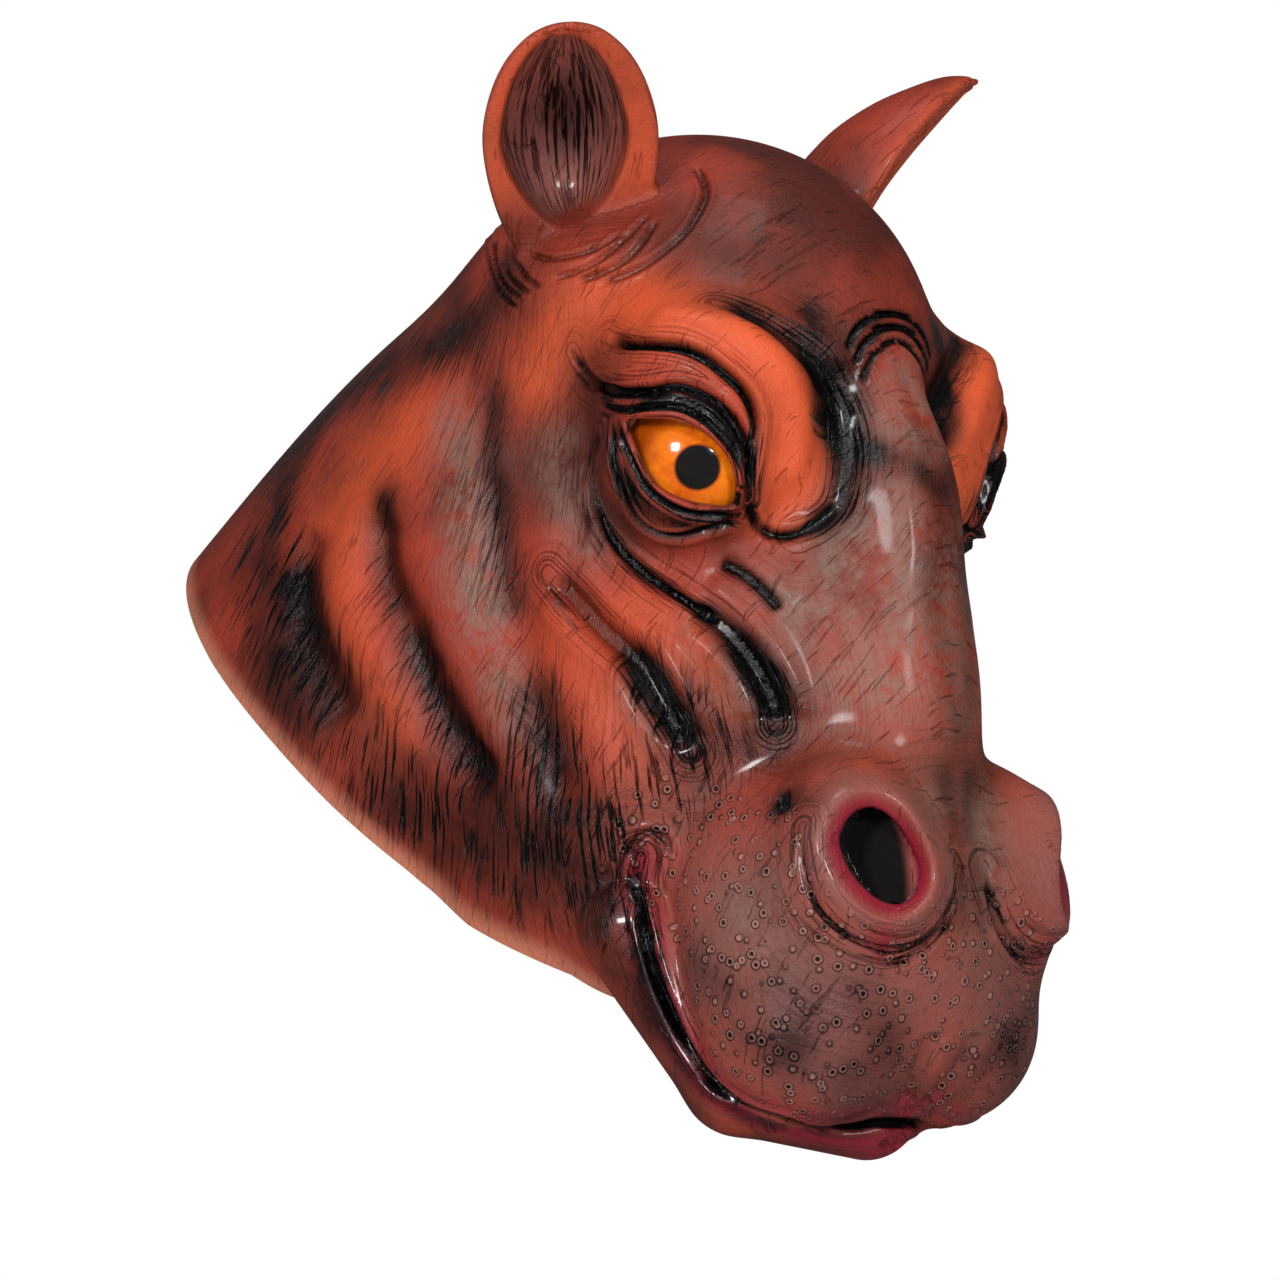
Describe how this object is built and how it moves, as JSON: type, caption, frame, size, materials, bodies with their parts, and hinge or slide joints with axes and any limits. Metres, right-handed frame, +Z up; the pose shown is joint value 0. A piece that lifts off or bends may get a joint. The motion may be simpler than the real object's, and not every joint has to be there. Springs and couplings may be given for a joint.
{
  "type": "hippo costume mask",
  "caption": "Full-head hippo mask of soft latex: hollow head with big nostrils, heavy brows, set-in glossy eyes, cup ears and an open neck hem.",
  "frame": {"origin": "inside the top of the crown, where the wearer's head touches", "axes": "+Z up, the mask looks along -Y, and +X is the mask's left side"},
  "size_m": [0.2678, 0.4036, 0.4594],
  "materials": {
    "skin_latex": "glossy painted latex, brick red with dark wash in the folds",
    "ear_latex": "glossy painted latex, orange red",
    "eye_amber": "high-gloss amber",
    "pupil_black": "high-gloss black"
  },
  "bodies": {
    "root": {"mask_skin": "skin_latex", "ear_right": "ear_latex", "ear_left": "ear_latex", "eye_right": "eye_amber", "eye_left": "eye_amber", "pupil_right": "pupil_black", "pupil_left": "pupil_black"}
  },
  "joints": []
}
